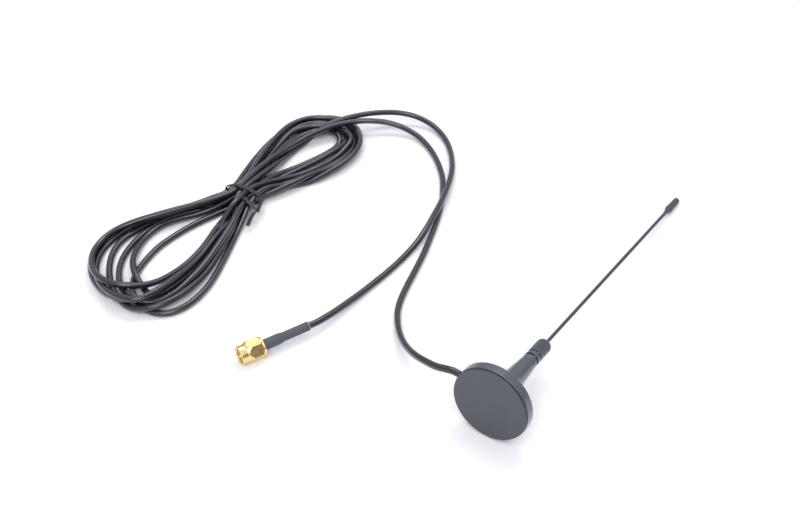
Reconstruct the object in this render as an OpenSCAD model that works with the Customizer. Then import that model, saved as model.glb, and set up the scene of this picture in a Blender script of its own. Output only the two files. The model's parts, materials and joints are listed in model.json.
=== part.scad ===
// Magnetic mount whip antenna with its coax cord and screw-on coax plug.
// It lies on its side: the base rim and the tip cap rest on the surface z = 0.
// +Y runs from the base to the tip. The origin is under the middle of the antenna itself.

/* [Base] */
// Diameter of the round base
base_d = 30; // [28:0.5:34]
// Height of the base's straight rim, pad included
rim_h = 4.8; // [4.8:0.1:6]
// Thickness of the pad that covers the magnet
pad_t = 0.6; // [0.5:0.1:1]
// Diameter of the magnet
magnet_d = 17; // [15:0.5:17]
// Thickness of the magnet
magnet_t = 2.4; // [2:0.1:2.4]

/* [Neck and whip] */
// Overall length from the pad's face to the end of the tip cap
overall_l = 172; // [140:1:200]
// Height of the neck's top above the pad's face
neck_top = 27.3; // [26:0.1:30]
// Diameter of the neck just below its top
neck_d = 6.6; // [6.4:0.1:7.4]
// Diameter of the whip's grip
grip_d = 6; // [5.8:0.1:6.4]
// Length of the whip's grip
grip_l = 14.9; // [13:0.1:17]
// Diameter of the whip over its sleeve
whip_d = 1.4; // [1.3:0.1:1.6]
// Diameter of the steel rod in the whip
rod_d = 0.9; // [0.8:0.05:1]
// Largest diameter of the tip cap
tip_d = 3.3; // [3:0.1:4]
// Length of the tip cap
tip_l = 13.5; // [12:0.5:16]
// Outer diameter of the thread that holds the whip
stud_d = 3; // [2.8:0.1:3.2]

/* [Coax plug] */
// Width of the coupling nut across its flats
nut_af = 8; // [8:0.1:8.4]
// Length of the coupling nut
nut_l = 10.2; // [9.5:0.1:11]
// Diameter of the centre contact pin
pin_d = 0.91; // [0.9:0.01:0.94]
// Length of the heat-shrink sleeve behind the nut
shrink_l = 20.3; // [18:0.1:26]

/* [Cord] */
// Diameter of the coax cord
cord_d = 2.8; // [2.6:0.1:2.8]
// Height of the bundled cord above the surface
hank_h = 9.8; // [9:0.2:10]

/* [Hidden] */
$fn = 64;

charcoal = [0.17, 0.18, 0.20];
black = [0.09, 0.10, 0.11];
gold = [0.90, 0.72, 0.36];
brass = [0.80, 0.66, 0.36];
steel = [0.62, 0.63, 0.65];
copper = [0.78, 0.48, 0.32];
tin = [0.74, 0.75, 0.77];
white = [0.93, 0.93, 0.90];

// Small air gaps: between parts that only touch, and round a shaft that turns
seat_gap = 0.05;
run_gap = 0.05;

base_r = base_d / 2;
pad_r = base_r - 0.2;
rim_edge = 0.4;
wall = 1.4;
neck_r = neck_d / 2;
grip_r = grip_d / 2;
whip_r = whip_d / 2;
tip_r = tip_d / 2;
stud_r = stud_d / 2;
cord_r = cord_d / 2;

// The groove between pad and rim, and the stack of parts inside the base
groove = 0.2;
housing_start = pad_t + groove;
cavity_r = base_r - 2;
cavity_top = rim_h - 0.8;
spigot_h = 0.6;
magnet_z = pad_t + spigot_h + seat_gap;
plate_t = 0.6;
plate_z = magnet_z + magnet_t + seat_gap;

// A hollow curve runs from the rim into the neck, which then tapers to its top
flare_power = 5.2;
neck_taper = 0.077;
neck_end_r = neck_r - 0.1;
flare_w = base_r - rim_edge - neck_end_r - neck_taper * (neck_top - rim_h);
function flare_r(z) =
    neck_end_r + neck_taper * (neck_top - z) + flare_w * pow((neck_top - z) / (neck_top - rim_h), flare_power);

// The brass stud is seated in the neck, and its thread stands out of the top
stud_head_r = 2.2;
stud_head_z = neck_top - 7.2;
stud_thread_l = 3.6;
stud_top = neck_top + stud_thread_l;
cup_r = 0.5;

// The whip turns off the stud on its thread
seal_t = 0.4;
seal_z = neck_top + seat_gap;
grip_z = seal_z + seal_t + seat_gap;
grip_top = grip_z + grip_l;
insert_z = grip_z + 0.3;
insert_l = 7.6;
insert_r = 2.1;
rod_z = insert_z + 4.6;
sleeve_z = insert_z + insert_l + 0.3;
tip_z = overall_l - tip_l;
tip_body_r = tip_r - 0.2;
sleeve_end = tip_z + 3;
rod_end = tip_z + 5;
// Grip details: two rings of slots with webs between, then fine ribs
slot_count = 4;
slot_angle = 72;
slot_turn = 75;
slot_depth = 0.7;
slot_rows = [2.6, 5.2];
slot_w = [1.1, 0.8];
rib_count = 24;
rib_z = 6.4;
rib_l = 6;
rib_h = 0.2;
rib_w = 0.36;
dome_h = 2.4;

// Lying pose: the rim's back edge and the tip's dome touch the surface
tip_dome_r = tip_body_r;
rim_contact = rim_h - rim_edge;
tip_contact = overall_l - tip_dome_r;
pose_arm = tip_contact - rim_contact;
tilt = atan(base_r / pose_arm) - asin(tip_dome_r / norm([pose_arm, base_r]));
face_z = base_r * cos(tilt) + rim_contact * sin(tilt);
face_y = (base_r * sin(tilt) - tip_contact * cos(tilt) - tip_dome_r) / 2;

// Where the cord leaves the rim: height on the rim, and angle above the horizontal
exit_s = 2.9;
exit_angle = 18;
jacket_in_r = 10.8;
dielectric_d = 1.5;
core_d = 0.5;
clamp_r = cord_r + 0.2;

function to_row(p) = [
    p[0],
    face_y - p[1] * sin(tilt) + p[2] * cos(tilt),
    face_z - p[1] * cos(tilt) - p[2] * sin(tilt)
];
exit_dir = [-cos(exit_angle), -sin(exit_angle), 0];
cord_exit = to_row([base_r * exit_dir[0], base_r * exit_dir[1], exit_s]);

// Plug: its axis lies level at half the nut's width, and z = 0 is the nut's mouth
plug_turn = -21.8;
plug_mouth = [-96.8, -108.2, nut_af / 2 + 0.02];
nut_flat_r = nut_af / 2;
nut_corner_r = nut_flat_r + 0.7;
nut_front_r = 3.8;
nut_front_l = 2.6;
nut_cone_l = 2.2;
nut_collar_l = 0.9;
nut_collar_r = nut_flat_r - 0.05;
nut_thread_r = 3;
nut_bore_r = 2.65;
nut_bore_z = 5.6;
nut_groove_r = 3.15;
nut_groove = [6.3, 7.2];
body_front_z = 4;
body_front_r = 2.3;
body_back_z = nut_l - 0.2;
ring_groove = [6.5, 7];
ring_groove_r = 2.2;
insulator_r = 2;
insulator_z = 8.4;
crimp_neck_r = 1.55;
crimp_neck_z = nut_l + 5.2;
plug_jacket_z = crimp_neck_z + 0.2;
ferrule_r = 1.9;
ferrule_z = [nut_l + 0.4, crimp_neck_z + 2.2];
pin_tip_z = 0.6;
pin_tip_l = 0.5;
pin_shank_r = 0.62;
pin_solder_z = 10.4;
shrink_z = [nut_l + 0.2, nut_l + shrink_l];
shrink_step = [nut_l + 8.8, nut_l + 10.3];
shrink_big_r = 2.2;
shrink_small_r = 1.88;

function plug_point(back) =
    plug_mouth + back * [-sin(plug_turn), cos(plug_turn), 0];
shrink_end = plug_point(shrink_z[1]);

// Route of the cord's free stretches, from the base to the bundle and from the bundle to the plug
lead_route = [
    cord_exit,
    [-17.2, -81.9, 19.9], [-20.4, -82, 19.2], [-24, -81.7, 17.9], [-30.9, -79.6, 15.4], [-37.3, -76.4, 12.4],
    [-43.3, -72.2, 9.2], [-48.9, -67.4, 6.4], [-54.2, -61.9, 4.1], [-59.1, -55.9, 2.4], [-63.4, -49.3, 1.5],
    [-66.5, -42, 1.4], [-68.8, -34.4, 1.4], [-70.9, -26.7, 1.4], [-73, -19.1, 1.4], [-75.3, -11.5, 1.4],
    [-77.9, -4, 1.4], [-80.6, 3.5, 1.4], [-83.4, 10.9, 1.4], [-86.5, 18.2, 1.4], [-90.1, 25.3, 1.4],
    [-94.2, 32.1, 1.4], [-98.6, 38.7, 1.4], [-103.7, 44.7, 1.4], [-109.4, 50.3, 1.4], [-115.5, 55.3, 1.4],
    [-122.3, 59.4, 1.9], [-129.7, 62, 2.7], [-137.5, 62, 4.1], [-144.7, 59.3, 5.7], [-150.9, 54.5, 7],
    [-156.4, 50.6, 7]
];
tail_route = [
    [-160, 51.4, 8.1],
    [-156, 56.7, 8.2], [-150.7, 63.3, 7.6], [-144.8, 69.3, 6.4], [-137.7, 73.4, 4.8], [-129.4, 74.1, 3.3],
    [-121.5, 71.6, 2.2], [-114.4, 66.9, 1.7], [-108.4, 61, 1.6], [-103.2, 54.4, 1.9], [-98.6, 47.3, 2.5],
    [-94.7, 39.8, 3.2], [-91.4, 32, 3.8], [-88.5, 24.1, 4.3], [-85.9, 16, 4.5], [-83.8, 7.8, 4.3],
    [-82, -0.5, 3.6], [-81, -8.8, 2.3], [-80.6, -17.2, 1.5], [-80.4, -25.7, 1.4], [-80.6, -34.2, 1.4],
    [-81.1, -42.6, 1.5], [-81.6, -51.1, 1.8], [-82.1, -59.5, 2.5], [-82.7, -67.9, 3.3], [-84, -76.2, 3.95],
    shrink_end
];

// Outline of the tied bundle, seen from above: a closed curve through these points
hank_outline_points = [
    [-173.6, -28], [-179.5, -38], [-186.5, -52], [-196, -70], [-198, -87], [-191, -101.5], [-178, -110.5],
    [-166, -113], [-150, -112.5], [-135, -103], [-134, -82], [-143, -56], [-156.3, -28], [-149.5, -6],
    [-141.5, 20], [-143, 38], [-156, 53], [-179, 50.5], [-189.5, 32], [-188, 12], [-180, -12]
];
curve_steps = 5;
hank_waist = [-165, -28];
waist_w = 17;
tie_t = 0.9;
tie_w = 1.6;
tie_outer_w = waist_w + 3.4;
tie_notch_w = 2.4;
tie_notch_h = 4;
tie_twist_d = 2;
tie_twist_l = 7.5;

// ---- helpers ----

module on_antenna()
    translate([0, face_y, face_z]) rotate([-90 - tilt, 0, 0]) children();

module towards_exit()
    rotate([0, 0, 180 + exit_angle]) children();

module on_plug()
    translate(plug_mouth) rotate([90, 0, plug_turn]) mirror([0, 0, 1]) children();

module pipe(outer_r, inner_r, z0, z1)
    translate([0, 0, z0]) difference() {
        cylinder(r = outer_r, h = z1 - z0);
        translate([0, 0, -1]) cylinder(r = inner_r, h = z1 - z0 + 2);
    }

module rod(r, z0, z1)
    translate([0, 0, z0]) cylinder(r = r, h = z1 - z0);

function unit(v) = v / norm(v);

function tangent_at(route, i) =
    unit(route[min(i + 1, len(route) - 1)] - route[max(i - 1, 0)]);

function ring_at(route, i, r, sides, up) =
    let (t = tangent_at(route, i), a = unit(cross(t, up)), b = cross(a, t))
    [for (k = [0:sides - 1]) route[i] + r * (cos(360 * (k + 0.5) / sides) * a
                                             + sin(360 * (k + 0.5) / sides) * b)];

// A closed tube swept along a route, one ring of points at each of its points
module tube(route, r, sides = 8, up = [0, 0, 1]) {
    rings = len(route);
    points = [for (i = [0:rings - 1]) each ring_at(route, i, r, sides, up)];
    skin = [for (i = [0:rings - 2], k = [0:sides - 1])
        let (a = i * sides + k, b = i * sides + (k + 1) % sides)
        each [[a, b, b + sides], [a, b + sides, a + sides]]];
    near_end = [for (k = [sides - 1:-1:0]) k];
    far_end = [for (k = [0:sides - 1]) (rings - 1) * sides + k];
    polyhedron(points = points, faces = concat(skin, [near_end, far_end]), convexity = 6);
}

// One point of a smooth curve between b and c, with a and d as their neighbours
function curve_point(a, b, c, d, t) =
    (2 * b + (c - a) * t + (2 * a - 5 * b + 4 * c - d) * t * t + (3 * b - a - 3 * c + d) * t * t * t) / 2;

function closed_curve(points, steps) = let (n = len(points))
    [for (i = [0:n - 1], k = [0:steps - 1])
        curve_point(points[(i + n - 1) % n], points[i], points[(i + 1) % n], points[(i + 2) % n],
                    k / steps)];

// ---- base ----

module base_housing() color(charcoal) on_antenna() difference() {
    rotate_extrude() polygon(concat(
        [[0, housing_start], [base_r - 0.2, housing_start], [base_r, housing_start + 0.2],
         [base_r, rim_contact]],
        [for (z = [rim_h:0.8:rim_h + 8]) [flare_r(z), z]],
        [for (z = [rim_h + 10:2.4:neck_top - 1]) [flare_r(z), z]],
        [[neck_end_r, neck_top - 0.1], [neck_end_r - 0.1, neck_top], [0, neck_top]]
    ));
    // Hollow for the magnet, running up into the flare
    rotate_extrude() polygon(concat(
        [[0, 0], [cavity_r, 0], [cavity_r, cavity_top]],
        [for (z = [rim_h + 0.6:1.4:rim_h + 6.2]) [flare_r(z) - wall, z]],
        [[1.3, rim_h + 9], [0, rim_h + 9]]
    ));
    // Passage for the coax, and the stud's seat
    rod(1.1, rim_h, stud_head_z);
    rod(stud_head_r + seat_gap, stud_head_z - 0.1, neck_top + 1);
    // Hole that the cord leaves by
    translate([0, 0, exit_s]) towards_exit() rotate([0, 90, 0])
        translate([0, 0, cavity_r - 2]) cylinder(r = cord_r + seat_gap, h = 6);
}

module base_pad() color(charcoal) on_antenna() rotate_extrude() polygon([
    [0, 0], [pad_r - 0.3, 0], [pad_r - 0.1, 0.08], [pad_r, 0.25], [pad_r, pad_t - 0.1],
    [pad_r - 0.1, pad_t], [cavity_r - 0.1, pad_t], [cavity_r - 0.1, pad_t + spigot_h],
    [0, pad_t + spigot_h]
]);

module magnet() color(steel) on_antenna() rotate_extrude() polygon([
    [0, magnet_z], [magnet_d / 2 - 0.3, magnet_z], [magnet_d / 2, magnet_z + 0.3],
    [magnet_d / 2, magnet_z + magnet_t - 0.3], [magnet_d / 2 - 0.3, magnet_z + magnet_t],
    [0, magnet_z + magnet_t]
]);

module magnet_backing_plate() color(tin) on_antenna() rod(magnet_d / 2, plate_z, plate_z + plate_t);

module neck_stud() color(brass) on_antenna() difference() {
    union() {
        rod(stud_head_r, stud_head_z, neck_top - 0.1);
        rod(stud_r, stud_head_z, stud_top);
    }
    // Two rings turned into the head key it into the neck
    for (z = [stud_head_z + 2, stud_head_z + 4.4])
        pipe(stud_head_r + 1, stud_head_r - 0.35, z, z + 0.8);
    rod(cup_r, stud_head_z - 1, stud_head_z + 1.8);
}

// ---- coax inside the base ----

module cable_clamp() color(steel) on_antenna() translate([0, 0, exit_s]) towards_exit()
    rotate([0, 90, 0]) pipe(clamp_r, cord_r + 0.02, jacket_in_r + 0.3, cavity_r - 0.3);

module coax_jacket_end() color(black) on_antenna() translate([0, 0, exit_s]) towards_exit()
    rotate([0, 90, 0]) rod(cord_r, jacket_in_r, base_r);

dielectric_end = stud_head_z - 1.6;
dielectric_route = [
    [jacket_in_r - 0.02, 0, exit_s], [10.62, 0, exit_s + 0.02], [10.3, 0, 3.1], [9.9, 0, 3.6],
    [9.5, 0, 4.5], [8.9, 0, 5.4], [7.8, 0, 5.9], [5.6, 0, 6.3], [3.6, 0, 7], [1.9, 0, 8.2],
    [0.7, 0, 10], [0.1, 0, 12], [0, 0, 14], [0, 0, dielectric_end]
];

module coax_dielectric() color(white) on_antenna() towards_exit()
    tube(dielectric_route, dielectric_d / 2, 8, [0, 1, 0]);

module coax_core() color(copper) on_antenna()
    rod(core_d / 2, dielectric_end + 0.02, stud_head_z + 1.5);

pigtail_route = [
    [jacket_in_r - 0.35, 1.25, 3.1], [10.2, 1.9, 3.6], [9.8, 2.5, 4.4], [9, 2.8, 5.15],
    [8, 2.9, 5.35], [6.9, 3, 5.3]
];

module coax_braid_pigtail() color(tin) on_antenna() towards_exit()
    tube(pigtail_route, 0.35, 8, [0, 1, 0.4]);

module solder_joint_core() color(tin) on_antenna() difference() {
    translate([0, 0, stud_head_z - 0.7]) cylinder(r1 = 0.4, r2 = 0.9, h = 0.68);
    rod(core_d / 2 + 0.01, stud_head_z - 2, stud_head_z + 1);
}

module solder_joint_braid() color(tin) on_antenna() towards_exit()
    translate([5.6, 3, plate_z + plate_t + 0.01]) cylinder(r1 = 1.25, r2 = 0.5, h = 0.9);

// ---- whip ----

module whip_seal() color(black) on_antenna()
    pipe(grip_r - 0.05, stud_r + 0.1, seal_z, seal_z + seal_t);

module grip_slots() for (i = [0:len(slot_rows) - 1], k = [0:slot_count - 1])
    rotate([0, 0, slot_turn + 360 * k / slot_count - slot_angle / 2])
        translate([0, 0, grip_z + slot_rows[i]])
            rotate_extrude(angle = slot_angle)
                translate([grip_r - slot_depth, -slot_w[i] / 2]) square([slot_depth + 1, slot_w[i]]);

module whip_grip() color(charcoal) on_antenna() difference() {
    union() {
        rotate_extrude() polygon(concat(
            [[0, grip_z], [grip_r - 0.15, grip_z], [grip_r, grip_z + 0.2],
             [grip_r, grip_z + rib_z - 0.3], [grip_r - rib_h, grip_z + rib_z]],
            [for (a = [0:12:60]) [(grip_r - rib_h) * cos(a), grip_top - dome_h + dome_h * sin(a)]],
            [[0.95, grip_top - 0.1], [0.8, grip_top], [0, grip_top]]
        ));
        for (k = [0:rib_count - 1]) rotate([0, 0, 360 * k / rib_count])
            translate([grip_r - 0.5, -rib_w / 2, grip_z + rib_z - 0.2]) cube([0.5, rib_w, rib_l]);
    }
    grip_slots();
    rod(insert_r + seat_gap, grip_z - 1, insert_z + insert_l + seat_gap);
    rod(whip_r + seat_gap, grip_z, grip_top + 1);
}

module whip_insert() color(brass) on_antenna() difference() {
    rod(insert_r, insert_z, insert_z + insert_l);
    rod(stud_r + run_gap, insert_z - 1, insert_z + 3.8);
    rod(rod_d / 2 + 0.02, insert_z, insert_z + insert_l + 1);
    pipe(insert_r + 1, insert_r - 0.3, insert_z + 3, insert_z + 4);
}

module whip_rod() color(steel) on_antenna() rod(rod_d / 2, rod_z, rod_end);

module whip_sleeve() color(black) on_antenna()
    pipe(whip_r, rod_d / 2 + 0.02, sleeve_z, sleeve_end);

module whip_tip() color(black) on_antenna() difference() {
    rotate_extrude() polygon(concat(
        [[0, tip_z], [whip_r + 0.12, tip_z], [tip_r - 0.15, tip_z + 2.8], [tip_r, tip_z + 3.05],
         [tip_r, tip_z + 4.7], [tip_body_r, tip_z + 4.9]],
        [for (a = [0:15:90]) [tip_dome_r * cos(a), tip_contact + tip_dome_r * sin(a)]]
    ));
    rod(whip_r + seat_gap, tip_z - 1, sleeve_end + seat_gap);
    rod(rod_d / 2 + 0.02, tip_z, rod_end + seat_gap);
}

// ---- cord ----

module cord_lead() color(black) tube(lead_route, cord_r);

module cord_tail() color(black) tube(tail_route, cord_r);

module cord_hank() color(black) difference() {
    linear_extrude(hank_h) polygon(closed_curve(hank_outline_points, curve_steps));
    // The tie passes under the bundle and draws its top in a little
    for (z = [tie_t + 0.1 - tie_notch_h, hank_h - tie_t - 0.1])
        translate([hank_waist[0] - waist_w, hank_waist[1] - tie_notch_w / 2, z])
            cube([2 * waist_w, tie_notch_w, tie_notch_h]);
}

// A flat ring with round ends: the outline of the tie, and of the space inside it
module tie_outline(w, h) {
    square([w - h, h], center = true);
    for (side = [-1, 1]) translate([side * (w - h) / 2, 0]) circle(d = h);
}

module twist_tie() color(black) translate([hank_waist[0], hank_waist[1], hank_h / 2]) {
    rotate([90, 0, 0]) linear_extrude(tie_w, center = true) difference() {
        tie_outline(tie_outer_w, hank_h - 0.1);
        tie_outline(tie_outer_w - 2 * tie_t, hank_h - 0.1 - 2 * tie_t);
    }
    // The twisted ends lie along the bundle's side
    translate([tie_outer_w / 2 - 0.2, 0, 0.6]) rotate([90, 0, 12])
        cylinder(d = tie_twist_d, h = tie_twist_l);
}

// ---- plug ----

module heat_shrink() color(black) on_plug() difference() {
    rotate_extrude() polygon([
        [0, shrink_z[0]], [shrink_big_r, shrink_z[0]], [shrink_big_r, shrink_step[0]],
        [shrink_small_r, shrink_step[1]], [shrink_small_r, shrink_z[1]], [0, shrink_z[1]]
    ]);
    rod(ferrule_r + 0.03, 0, ferrule_z[1] + 0.2);
    rod(cord_r + 0.03, 0, shrink_z[1] + 1);
}

module crimp_ferrule() color(gold) on_plug()
    pipe(ferrule_r, crimp_neck_r + 0.1, ferrule_z[0], ferrule_z[1]);

module plug_jacket_end() color(black) on_plug() rod(cord_r, plug_jacket_z, shrink_z[1]);

module plug_dielectric() color(white) on_plug()
    rod(0.72, pin_solder_z + 0.1, plug_jacket_z - 0.02);

module plug_body() color(gold) on_plug() difference() {
    union() {
        rod(body_front_r, body_front_z, nut_bore_z + 1);
        rod(nut_bore_r - run_gap, nut_bore_z + 0.3, body_back_z);
        rod(crimp_neck_r, body_back_z - 0.5, crimp_neck_z);
    }
    pipe(4, ring_groove_r, ring_groove[0], ring_groove[1]);
    rod(insulator_r + 0.02, body_front_z - 1, insulator_z + 0.05);
    rod(0.8, insulator_z, crimp_neck_z + 1);
}

module plug_insulator() color(white) on_plug() difference() {
    rod(insulator_r, body_front_z + seat_gap, insulator_z);
    rod(pin_shank_r + 0.02, 0, insulator_z + 1);
}

module plug_contact_pin() color(gold) on_plug() {
    translate([0, 0, pin_tip_z]) cylinder(r1 = 0.22, r2 = pin_d / 2, h = pin_tip_l);
    rod(pin_d / 2, pin_tip_z + pin_tip_l, body_front_z + seat_gap);
    rod(pin_shank_r, body_front_z + seat_gap, pin_solder_z);
}

module plug_gasket() color([0.75, 0.28, 0.2]) on_plug()
    pipe(nut_thread_r - 0.15, body_front_r + 0.03, body_front_z + 0.5, nut_bore_z - 0.1);

module plug_retaining_ring() color(brass) on_plug() difference() {
    pipe(2.9, ring_groove_r + 0.03, ring_groove[0] + 0.08, ring_groove[1] - 0.08);
    translate([0, -0.4, 0]) cube([4, 0.8, 12]);
}

// The hexagon, with its corners turned round at both ends
module nut_hexagon() intersection() {
    translate([0, 0, nut_front_l])
        cylinder(r = nut_flat_r / cos(30), h = nut_l - nut_front_l, $fn = 6);
    rotate_extrude() polygon([
        [0, nut_front_l], [nut_front_r, nut_front_l], [nut_corner_r, nut_front_l + nut_cone_l],
        [nut_corner_r, nut_l - 2 * nut_collar_l], [nut_collar_r, nut_l - nut_collar_l],
        [nut_collar_r, nut_l - 0.3], [nut_collar_r - 0.3, nut_l], [0, nut_l]
    ]);
}

module coupling_nut() color(gold) on_plug() difference() {
    union() {
        rotate_extrude() polygon([
            [0, 0], [nut_front_r - 0.35, 0], [nut_front_r, 0.35], [nut_front_r, nut_front_l + 0.5],
            [0, nut_front_l + 0.5]
        ]);
        nut_hexagon();
    }
    rod(nut_thread_r, -1, nut_bore_z);
    rod(nut_bore_r, -1, nut_l + 1);
    rod(nut_groove_r, nut_groove[0], nut_groove[1]);
}

base_housing();
base_pad();
magnet();
magnet_backing_plate();
neck_stud();
cable_clamp();
coax_jacket_end();
coax_dielectric();
coax_core();
coax_braid_pigtail();
solder_joint_core();
solder_joint_braid();
whip_seal();
whip_grip();
whip_insert();
whip_rod();
whip_sleeve();
whip_tip();
cord_lead();
cord_hank();
cord_tail();
twist_tie();
heat_shrink();
crimp_ferrule();
plug_jacket_end();
plug_dielectric();
plug_body();
plug_insulator();
plug_contact_pin();
plug_gasket();
plug_retaining_ring();
coupling_nut();
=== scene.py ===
"""Looks of a magnetic mount whip antenna with its tied coax cord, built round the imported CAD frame.

Lengths inside the builders are in millimetres, and pieces are made in metres. Two local frames
are used: the antenna's own axis, where s runs from the pad's face to the tip, and the plug's
axis, where s runs back from the nut's mouth.
"""
import json
import math

import bmesh
import bpy
import numpy as np
from mathutils import Matrix, Vector


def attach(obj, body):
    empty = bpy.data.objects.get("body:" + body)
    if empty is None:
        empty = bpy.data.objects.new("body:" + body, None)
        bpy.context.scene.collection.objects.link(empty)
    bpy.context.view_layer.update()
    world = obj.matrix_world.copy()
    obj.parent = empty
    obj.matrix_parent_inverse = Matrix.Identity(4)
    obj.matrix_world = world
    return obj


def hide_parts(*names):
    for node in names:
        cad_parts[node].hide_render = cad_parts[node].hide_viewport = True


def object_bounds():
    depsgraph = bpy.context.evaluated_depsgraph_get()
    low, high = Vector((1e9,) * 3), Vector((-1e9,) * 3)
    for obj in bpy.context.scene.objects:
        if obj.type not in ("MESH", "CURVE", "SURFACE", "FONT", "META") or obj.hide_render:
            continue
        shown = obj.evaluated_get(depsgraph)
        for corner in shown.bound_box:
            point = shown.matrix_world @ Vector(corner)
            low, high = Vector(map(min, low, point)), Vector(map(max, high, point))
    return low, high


MM = 0.001

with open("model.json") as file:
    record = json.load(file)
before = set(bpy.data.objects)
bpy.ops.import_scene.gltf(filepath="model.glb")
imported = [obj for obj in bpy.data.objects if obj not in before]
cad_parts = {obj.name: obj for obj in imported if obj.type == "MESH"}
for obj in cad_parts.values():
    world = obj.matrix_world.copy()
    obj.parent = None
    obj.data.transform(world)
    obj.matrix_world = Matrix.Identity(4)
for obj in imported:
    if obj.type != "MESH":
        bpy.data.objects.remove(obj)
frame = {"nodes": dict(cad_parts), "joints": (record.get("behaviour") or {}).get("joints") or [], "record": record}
cad_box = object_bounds()
record = frame["record"]
mounts = {m["name"]: m for m in record["mounts"]}
joints = {j["name"]: j for j in frame["joints"]}
nodes = frame["nodes"]


def add_object(name, data):
    """A new object of the scene that shows this data."""
    thing = bpy.data.objects.new(name, data)
    bpy.context.scene.collection.objects.link(thing)
    return thing


# ---- camera and light ----

camera = add_object("camera", bpy.data.cameras.new("camera"))
camera.data.sensor_width = 36
camera.data.lens = 46.74
camera.data.clip_start, camera.data.clip_end = 0.02, 20
camera.location = (0.1152, -0.3072, 0.2850)
looking = Vector((-0.4365, 0.6336, -0.6387))
camera.rotation_euler = looking.to_track_quat("-Z", "Y").to_euler()
bpy.context.scene.camera = camera


def area_light(name, direction, distance, size, power, colour):
    """A soft rectangular light in that direction from the middle of the object, facing it."""
    middle = (cad_box[0] + cad_box[1]) / 2
    lamp = add_object(name, bpy.data.lights.new(name, "AREA"))
    lamp.data.shape = "RECTANGLE"
    lamp.data.size, lamp.data.size_y = size
    lamp.data.energy = power
    lamp.data.color = colour
    towards = Vector(direction).normalized()
    lamp.location = middle + towards * distance
    lamp.rotation_euler = (-towards).to_track_quat("-Z", "Y").to_euler()


area_light("key", (0.567 * 0.66, -0.8235 * 0.66, 0.75), 1.1, (0.72, 0.72), 6.0, (1.0, 0.985, 0.965))
area_light("top", (-0.25, 0.45, 1.0), 0.95, (0.7, 0.35), 3.0, (0.97, 0.985, 1.0))


WORLD_LIGHT = 0.86
HORIZON, SKY = (0.30, 0.31, 0.34), (0.93, 0.945, 1.0)
CARD_TOWARDS, CARD_COLOUR = (0.97, 0.15, 0.20), (0.12, 0.13, 0.16)


def ramp_between(nt, factor, low, high, start=0.3, end=0.7):
    """Colours from low to high as the factor goes from start to end."""
    node = nt.nodes.new("ShaderNodeValToRGB")
    node.color_ramp.elements[0].position, node.color_ramp.elements[1].position = start, end
    node.color_ramp.elements[0].color = (*low, 1)
    node.color_ramp.elements[1].color = (*high, 1)
    nt.links.new(factor, node.inputs["Fac"])
    return node.outputs["Color"]


def make_world():
    """White surroundings, darker near the horizon and at a card that the plug's nut mirrors."""
    world = bpy.data.worlds.new("studio")
    bpy.context.scene.world = world
    world.use_nodes = True
    nt = world.node_tree
    coords = nt.nodes.new("ShaderNodeTexCoord")
    split = nt.nodes.new("ShaderNodeSeparateXYZ")
    nt.links.new(coords.outputs["Generated"], split.inputs[0])
    sky = ramp_between(nt, split.outputs["Z"], HORIZON, SKY, 0.02, 0.5)
    back = nt.nodes["Background"]
    # the dark card stands low on the right
    card = nt.nodes.new("ShaderNodeVectorMath")
    card.operation = "DOT_PRODUCT"
    card.inputs[1].default_value = Vector(CARD_TOWARDS).normalized()
    nt.links.new(coords.outputs["Generated"], card.inputs[0])
    shade = ramp_between(nt, card.outputs["Value"], (1, 1, 1), CARD_COLOUR, 0.90, 0.965)
    mix = nt.nodes.new("ShaderNodeMix")
    mix.data_type, mix.blend_type = "RGBA", "MULTIPLY"
    mix.inputs["Factor"].default_value = 1.0
    nt.links.new(sky, mix.inputs["A"])
    nt.links.new(shade, mix.inputs["B"])
    nt.links.new(mix.outputs["Result"], back.inputs["Color"])
    back.inputs["Strength"].default_value = WORLD_LIGHT


make_world()
bpy.context.scene.view_settings.view_transform = "Standard"


# ---- materials ----

def shader(name):
    """A new material with its node tree and its main shader."""
    material = bpy.data.materials.new(name)
    material.use_nodes = True
    nt = material.node_tree
    return material, nt, nt.nodes["Principled BSDF"]


def noise(nt, coords, scale, detail=3.0, rough=0.55, stretch=None):
    """A noise texture's factor over the given coordinates."""
    vector = coords
    if stretch:
        mapping = nt.nodes.new("ShaderNodeMapping")
        mapping.inputs["Scale"].default_value = stretch
        nt.links.new(coords, mapping.inputs["Vector"])
        vector = mapping.outputs["Vector"]
    texture = nt.nodes.new("ShaderNodeTexNoise")
    texture.inputs["Scale"].default_value = scale
    texture.inputs["Detail"].default_value = detail
    texture.inputs["Roughness"].default_value = rough
    nt.links.new(vector, texture.inputs["Vector"])
    return texture.outputs["Fac"]


def spread(nt, factor, low, high):
    """Values from low to high as the factor goes over a noise's usual range."""
    node = nt.nodes.new("ShaderNodeMapRange")
    node.inputs["From Min"].default_value, node.inputs["From Max"].default_value = 0.3, 0.7
    node.inputs["To Min"].default_value, node.inputs["To Max"].default_value = low, high
    nt.links.new(factor, node.inputs["Value"])
    return node.outputs["Result"]


def bumps(nt, bsdf, layers):
    """Adds height layers of (factor, distance in metres, strength), one on top of the other."""
    normal = None
    for factor, distance, strength in layers:
        bump = nt.nodes.new("ShaderNodeBump")
        bump.inputs["Distance"].default_value = distance
        bump.inputs["Strength"].default_value = strength
        nt.links.new(factor, bump.inputs["Height"])
        if normal:
            nt.links.new(normal, bump.inputs["Normal"])
        normal = bump.outputs["Normal"]
    nt.links.new(normal, bsdf.inputs["Normal"])


def tint(colour, by):
    """The colour made lighter or darker."""
    return tuple(min(1.0, c * by) for c in colour)


DUST_COLOUR = (0.42, 0.42, 0.43, 1)


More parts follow.
